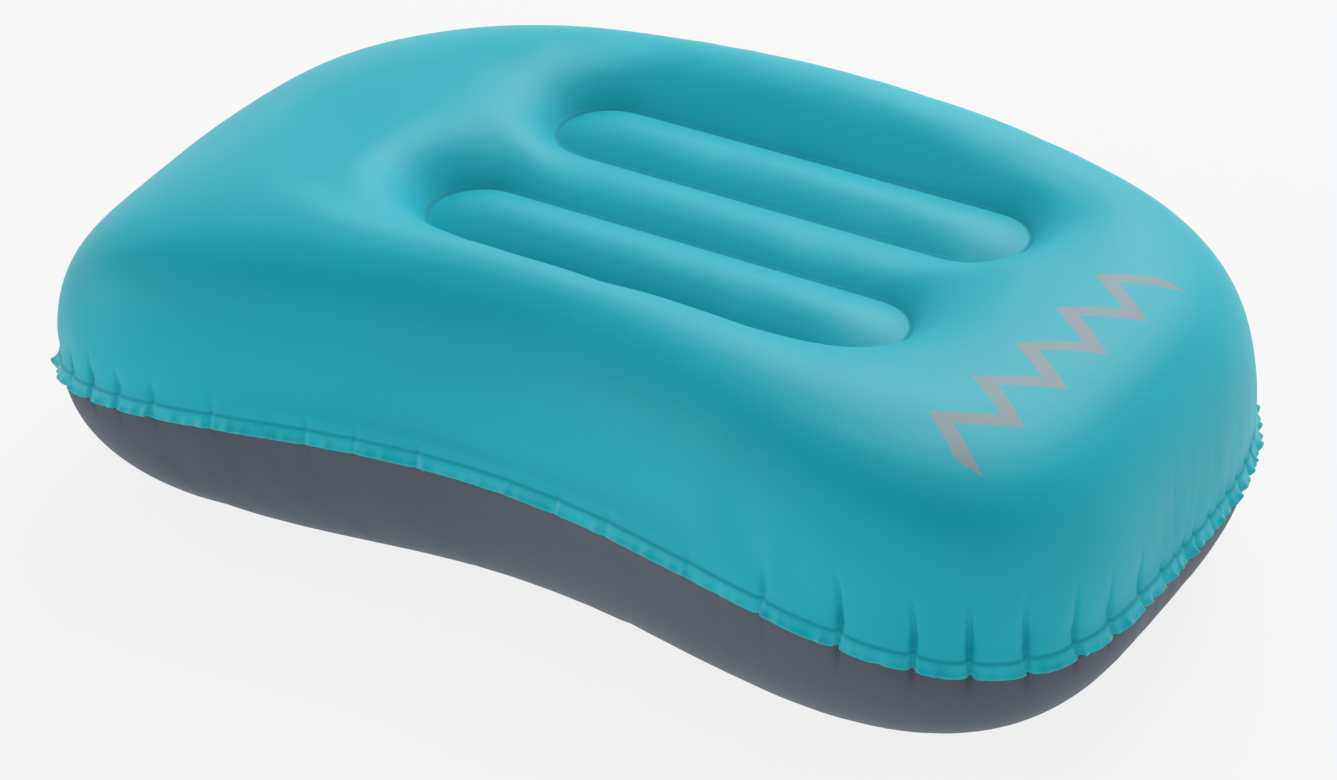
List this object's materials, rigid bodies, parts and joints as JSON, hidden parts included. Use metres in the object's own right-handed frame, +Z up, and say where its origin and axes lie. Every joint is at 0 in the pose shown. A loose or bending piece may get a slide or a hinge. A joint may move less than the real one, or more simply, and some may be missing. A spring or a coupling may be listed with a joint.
{
  "type": "inflatable camp pillow",
  "caption": "Inflatable camp pillow with a waisted front edge, a dished top over two tied loops, a welded perimeter flange and a two-stage air valve behind.",
  "frame": {"origin": "on the resting surface, under the middle of the object's box", "axes": "+X along the pillow, +Y from the waisted front edge to the rear edge with the valve, +Z up"},
  "size_m": [0.4686, 0.3006, 0.1357],
  "materials": {
    "top_fabric": "matte brushed knit",
    "bottom_fabric": "matte plain weave",
    "tie_film": "satin film",
    "valve_plastic": "satin moulded",
    "seal_rubber": "matte",
    "silicone": "satin translucent"
  },
  "bodies": {
    "pillow": {"top_panel": "top_fabric", "bottom_panel": "bottom_fabric", "front_baffle": "tie_film", "rear_baffle": "tie_film", "valve_base": "valve_plastic", "plug_tether": "valve_plastic"},
    "plug": {"deflate_plug": "valve_plastic", "plug_seal_ring": "seal_rubber", "flap_retainer": "silicone", "cap_tether": "valve_plastic"},
    "flap": {"one_way_flap": "silicone"},
    "cap": {"inflate_cap": "valve_plastic"}
  },
  "joints": [
    {"name": "plug_hinge", "type": "hinge", "parent": "pillow", "child": "plug", "pos_m": [-0.06721, 0.14424, 0.04443], "axis": [1, 0, 0], "range_deg": [0, 90]},
    {"name": "cap_hinge", "type": "hinge", "parent": "plug", "child": "cap", "pos_m": [-0.06721, 0.14809, 0.03581], "axis": [1, 0, 0], "range_deg": [0, 95]},
    {"name": "flap_lift", "type": "slide", "parent": "plug", "child": "flap", "axis": [0, -0.9272, 0.3746], "range_m": [0, 0.0012], "stiffness_N_per_m": 10}
  ]
}
